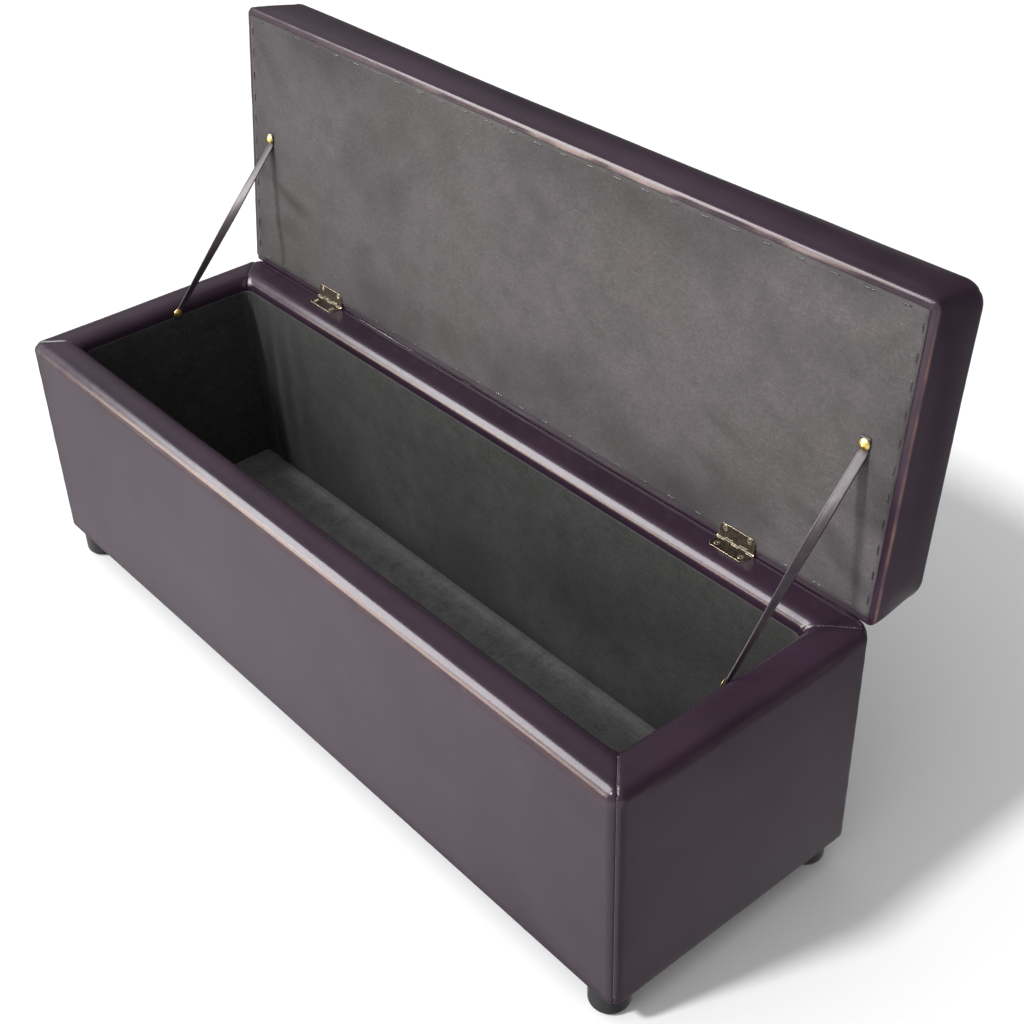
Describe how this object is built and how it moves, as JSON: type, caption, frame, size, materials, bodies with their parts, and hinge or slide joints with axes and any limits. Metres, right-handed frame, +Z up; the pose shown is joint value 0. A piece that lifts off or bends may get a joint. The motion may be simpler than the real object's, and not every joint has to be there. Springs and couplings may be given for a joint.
{
  "type": "storage ottoman",
  "caption": "Long upholstered storage bench on bun feet with a padded lid, hinged at the back and held open by straps.",
  "frame": {"origin": "on the floor, at the centre of the whole object's outline with the lid open; the box's own centre is 59.0 mm in front of it", "axes": "+X to the right along the bench, seen from the front, +Y from the front to the hinged back, +Z up"},
  "size_m": [1.1, 0.4679, 0.6742],
  "materials": {
    "leatherette": "semi-gloss dark brown faux leather",
    "foam": "open-cell upholstery foam",
    "board": "raw fibreboard",
    "timber": "raw pine",
    "lining": "dark grey non-woven lining",
    "lid_lining": "grey non-woven lining",
    "dust_cover": "black non-woven dust cover",
    "foot_plastic": "black moulded plastic",
    "brass": "polished brass",
    "antique_brass": "antique brass",
    "steel": "dull steel wire"
  },
  "bodies": {
    "box": {"cover_front": "leatherette", "cover_back": "leatherette", "cover_left": "leatherette", "cover_right": "leatherette", "wall_foam_front": "foam", "wall_foam_back": "foam", "wall_foam_left": "foam", "wall_foam_right": "foam", "panel_front": "board", "panel_back": "board", "panel_left": "board", "panel_right": "board", "top_rail_front": "timber", "top_rail_back": "timber", "top_rail_left": "timber", "top_rail_right": "timber", "bottom_rail_front": "timber", "bottom_rail_back": "timber", "bottom_rail_left": "timber", "bottom_rail_right": "timber", "post_front_left": "timber", "post_front_right": "timber", "post_back_left": "timber", "post_back_right": "timber", "lining_front": "lining", "lining_back": "lining", "lining_left": "lining", "lining_right": "lining", "bottom_board": "board", "floor_pad": "lining", "dust_cover": "dust_cover", "foot_front_left": "foot_plastic", "foot_front_right": "foot_plastic", "foot_back_left": "foot_plastic", "foot_back_right": "foot_plastic", "foot_bolts": "steel", "foot_inserts": "brass", "underside_staples": "steel", "hinge_left_box_leaf": "antique_brass", "hinge_right_box_leaf": "antique_brass", "hinge_left_pin": "brass", "hinge_right_pin": "brass", "hinge_box_screws": "antique_brass", "strap_left": "leatherette", "strap_right": "leatherette", "strap_box_tacks": "brass"},
    "lid": {"lid_rail_front": "timber", "lid_rail_back": "timber", "lid_rail_left": "timber", "lid_rail_right": "timber", "lid_deck": "board", "lid_foam": "foam", "lid_cover": "leatherette", "lid_lining": "lid_lining", "lid_staples": "steel", "hinge_left_lid_leaf": "antique_brass", "hinge_right_lid_leaf": "antique_brass", "hinge_lid_screws": "antique_brass", "strap_lid_tacks": "brass"}
  },
  "joints": [
    {"name": "lid_hinge", "type": "hinge", "parent": "box", "child": "lid", "pos_m": [0, 0.11354, 0.32925], "axis": [1, 0, 0], "range_deg": [0, 95.6], "deforming": ["strap_left", "strap_right"]}
  ]
}
